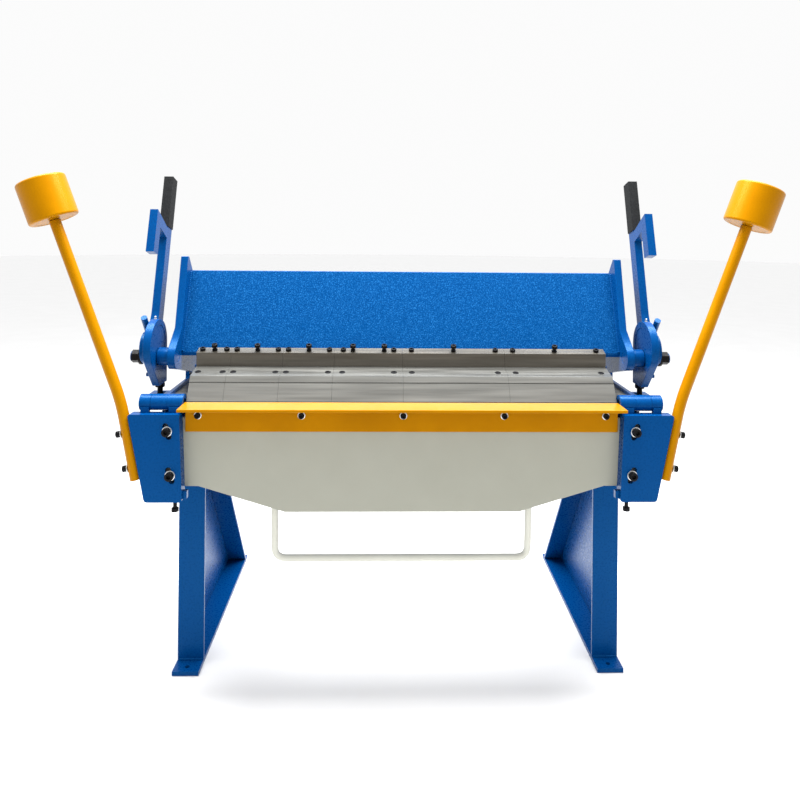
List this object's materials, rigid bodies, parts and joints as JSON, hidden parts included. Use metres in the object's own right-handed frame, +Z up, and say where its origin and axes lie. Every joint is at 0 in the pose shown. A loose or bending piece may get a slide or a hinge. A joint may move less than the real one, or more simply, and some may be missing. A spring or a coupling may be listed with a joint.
{
  "type": "sheet metal brake",
  "caption": "Floor-standing box and pan brake: folding apron with counterweights, lifting clamping beam with split fingers, and an eccentric clamp lever at each end.",
  "frame": {"origin": "bottom centre of the whole machine's box, on the floor", "axes": "+X to the operator's right along the fold line, +Y to the back, +Z up"},
  "size_m": [2.1292, 0.969, 1.5125],
  "materials": {
    "blue_paint": "gloss hammertone enamel",
    "yellow_paint": "gloss enamel",
    "grey_paint": "satin enamel",
    "ground_steel": "ground steel, grain along the fingers",
    "black_oxide": "black oxide steel",
    "grip_rubber": "moulded rubber sleeve"
  },
  "bodies": {
    "frame": {"bed_beam": "blue_paint", "bed_table": "ground_steel", "leg_web_left": "blue_paint", "leg_web_right": "blue_paint", "leg_front_plate_left": "blue_paint", "leg_front_plate_right": "blue_paint", "leg_rear_brace_left": "blue_paint", "leg_rear_brace_right": "blue_paint", "foot_plate_left": "blue_paint", "foot_plate_right": "blue_paint", "bed_knuckle_left": "blue_paint", "bed_knuckle_right": "blue_paint", "hinge_pin_left": "black_oxide", "hinge_pin_right": "black_oxide", "link_anchor_left": "blue_paint", "link_anchor_right": "blue_paint", "pivot_ear_left": "blue_paint", "pivot_ear_right": "blue_paint", "pivot_pin_left": "black_oxide", "pivot_pin_right": "black_oxide"},
    "apron": {"apron_plate": "grey_paint", "folding_angle": "yellow_paint", "lift_handle": "grey_paint", "apron_end_left": "blue_paint", "apron_end_right": "blue_paint", "counterweight_rod_left": "yellow_paint", "counterweight_rod_right": "yellow_paint", "counterweight_left": "yellow_paint", "counterweight_right": "yellow_paint", "adjusting_screw_left": "black_oxide", "adjusting_screw_right": "black_oxide"},
    "clamping_beam": {"beam_front_plate": "blue_paint", "beam_back_plate": "blue_paint", "beam_seat": "blue_paint", "beam_end_plate_left": "blue_paint", "beam_end_plate_right": "blue_paint", "finger_1": "ground_steel", "finger_2": "ground_steel", "finger_3": "ground_steel", "finger_4": "ground_steel", "finger_5": "ground_steel", "finger_6": "ground_steel", "finger_clamp_1": "ground_steel", "finger_clamp_2": "ground_steel", "finger_clamp_3": "ground_steel", "finger_clamp_4": "ground_steel", "finger_clamp_5": "ground_steel", "finger_clamp_6": "ground_steel"},
    "lever_left": {"clamp_lever_left": "blue_paint", "lever_grip_left": "grip_rubber", "shaft_nut_left": "black_oxide", "eccentric_shaft_left": "blue_paint"},
    "link_left": {"clamp_link_left": "blue_paint", "clamp_stud_left": "black_oxide"},
    "lever_right": {"clamp_lever_right": "blue_paint", "lever_grip_right": "grip_rubber", "shaft_nut_right": "black_oxide", "eccentric_shaft_right": "blue_paint"},
    "link_right": {"clamp_link_right": "blue_paint", "clamp_stud_right": "black_oxide"}
  },
  "joints": [
    {"name": "apron_fold", "type": "hinge", "parent": "frame", "child": "apron", "pos_m": [0, -0.3915, 0.861], "axis": [-1, 0, 0], "range_deg": [0, 90]},
    {"name": "beam_lift", "type": "hinge", "parent": "frame", "child": "clamping_beam", "pos_m": [0, -0.0615, 0.903], "axis": [-1, 0, 0], "range_deg": [0, 8.9]},
    {"name": "lever_left_turn", "type": "hinge", "parent": "clamping_beam", "child": "lever_left", "pos_m": [-0.751, -0.2935, 0.9705], "axis": [1, 0, 0], "range_deg": [0, 104]},
    {"name": "link_left_turn", "type": "hinge", "parent": "lever_left", "child": "link_left", "pos_m": [-0.728, -0.2935, 1.0035], "axis": [-1, 0, 0], "range_deg": [0, 89.1]},
    {"name": "lever_right_turn", "type": "hinge", "parent": "clamping_beam", "child": "lever_right", "pos_m": [0.751, -0.2935, 0.9705], "axis": [1, 0, 0], "range_deg": [0, 104]},
    {"name": "link_right_turn", "type": "hinge", "parent": "lever_right", "child": "link_right", "pos_m": [0.728, -0.2935, 1.0035], "axis": [-1, 0, 0], "range_deg": [0, 89.1]}
  ],
  "couplings": [
    {"joint": "lever_left_turn", "follows": "beam_lift", "ratio": 11.68},
    {"joint": "link_left_turn", "follows": "beam_lift", "ratio": 10},
    {"joint": "lever_right_turn", "follows": "beam_lift", "ratio": 11.68},
    {"joint": "link_right_turn", "follows": "beam_lift", "ratio": 10}
  ]
}
